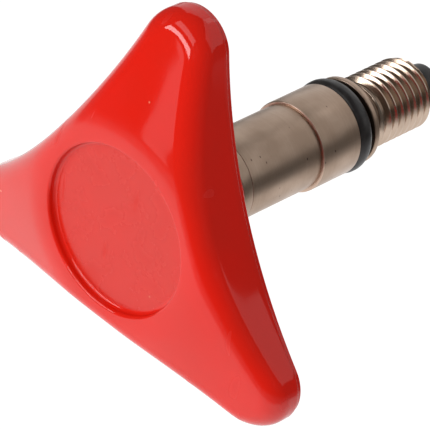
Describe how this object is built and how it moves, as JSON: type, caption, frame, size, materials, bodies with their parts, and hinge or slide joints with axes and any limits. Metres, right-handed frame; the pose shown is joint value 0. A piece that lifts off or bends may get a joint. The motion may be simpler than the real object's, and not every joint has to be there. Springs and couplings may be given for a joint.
{
  "type": "valve headwork",
  "caption": "Screw-in valve headwork: red three-lobed handwheel on a nickel-plated barrel with O-ring, fine male thread and rubber-tipped lift piston.",
  "frame": {"origin": "on the turning axis, at the plane where the mounting thread starts", "axes": "+Y along the axis from the handwheel towards the rubber tip, +Z through one lobe of the handwheel"},
  "size_m": [0.0654, 0.0705, 0.0584],
  "materials": {
    "wheel_red": "glossy moulded plastic",
    "cover_red": "glossy moulded plastic",
    "nickel": "satin nickel plating on turned brass",
    "brass": "turned brass",
    "zinc_steel": "zinc-plated steel",
    "black_rubber": "moulded rubber",
    "ptfe": "white low-friction plastic"
  },
  "bodies": {
    "housing": {"valve_body": "nickel", "gland_bush": "nickel", "gland_o_ring": "black_rubber", "body_o_ring": "black_rubber"},
    "handwheel_and_spindle": {"handwheel": "wheel_red", "cover_disc": "cover_red", "handle_screw": "zinc_steel", "spring_washer": "zinc_steel", "flat_washer": "zinc_steel", "hub_insert": "brass", "spindle": "brass", "spindle_o_ring_outer": "black_rubber", "spindle_o_ring_inner": "black_rubber", "thrust_washer_outer": "ptfe", "thrust_washer_inner": "ptfe"},
    "lift_piston_and_tip": {"lift_piston": "brass", "piston_o_ring": "black_rubber", "seat_tip": "black_rubber", "tip_washer": "zinc_steel", "tip_screw": "zinc_steel"}
  },
  "joints": [
    {"name": "handwheel_turn", "type": "hinge", "parent": "housing", "child": "handwheel_and_spindle", "pos_m": [0, -0.03, 0], "axis": [0, -1, 0], "range_deg": [0, 1260]},
    {"name": "piston_lift", "type": "slide", "parent": "housing", "child": "lift_piston_and_tip", "axis": [0, -1, 0], "range_m": [0, 0.0035]}
  ],
  "couplings": [
    {"joint": "piston_lift", "follows": "handwheel_turn", "m_per_rad": 0.00015915}
  ]
}
